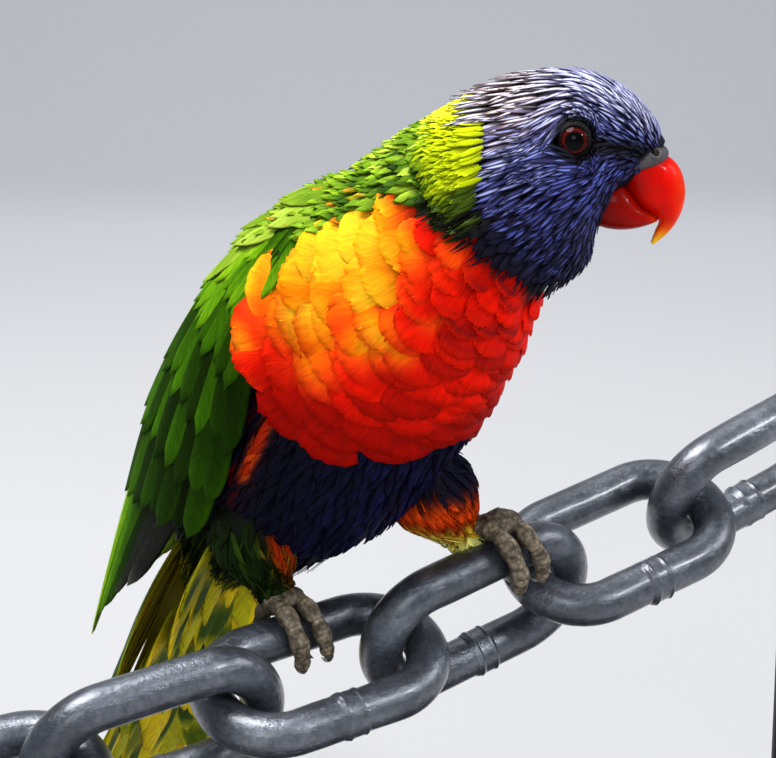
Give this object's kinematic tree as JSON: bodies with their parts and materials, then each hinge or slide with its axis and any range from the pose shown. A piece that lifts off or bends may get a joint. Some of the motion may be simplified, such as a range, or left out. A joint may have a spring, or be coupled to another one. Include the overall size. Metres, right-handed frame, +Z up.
{
  "type": "lorikeet on chain model",
  "caption": "Life-size still rainbow lorikeet model gripping a cut length of welded chain, held on a flat display base by two rods.",
  "frame": {"origin": "centre of the stand base's underside", "axes": "+Z up, +X along the chain towards its higher end, the bird's breast faces about -Y"},
  "size_m": [0.296, 0.1701, 0.2505],
  "materials": {
    "stand": "satin black paint",
    "chain_steel": "dark worn blue-grey steel with rust specks",
    "blue_plumage": "violet-blue feathers with pale shaft streaks",
    "lime_plumage": "lime collar and green hind neck feathers",
    "orange_plumage": "yellow, orange and red breast feathers over a navy belly",
    "green_plumage": "green wing feathers",
    "tail_plumage": "green and olive yellow tail feathers",
    "thigh_plumage": "orange, yellow and green thigh feathers",
    "bill": "glossy red horn with an orange tip",
    "cere": "grey bare skin",
    "eye": "wet dark red iris and black pupil",
    "foot": "grey-brown scaly skin",
    "claw": "dark horn"
  },
  "bodies": {
    "root": {"stand_base": "stand", "stand_rod_left": "stand", "stand_rod_right": "stand", "chain_link_1": "chain_steel", "chain_link_2": "chain_steel", "chain_link_3": "chain_steel", "chain_link_4": "chain_steel", "chain_link_5": "chain_steel", "chain_link_6": "chain_steel", "claw_left_1": "claw", "claw_left_2": "claw", "claw_left_3": "claw", "claw_left_4": "claw", "claw_right_1": "claw", "claw_right_2": "claw", "claw_right_3": "claw", "claw_right_4": "claw", "head": "blue_plumage", "neck": "lime_plumage", "torso": "orange_plumage", "wing_left": "green_plumage", "wing_right": "green_plumage", "tail": "tail_plumage", "thigh_left": "thigh_plumage", "thigh_right": "thigh_plumage", "bill_upper": "bill", "bill_lower": "bill", "cere": "cere", "eye_left": "eye", "eye_right": "eye", "foot_left": "foot", "foot_right": "foot"}
  },
  "joints": []
}
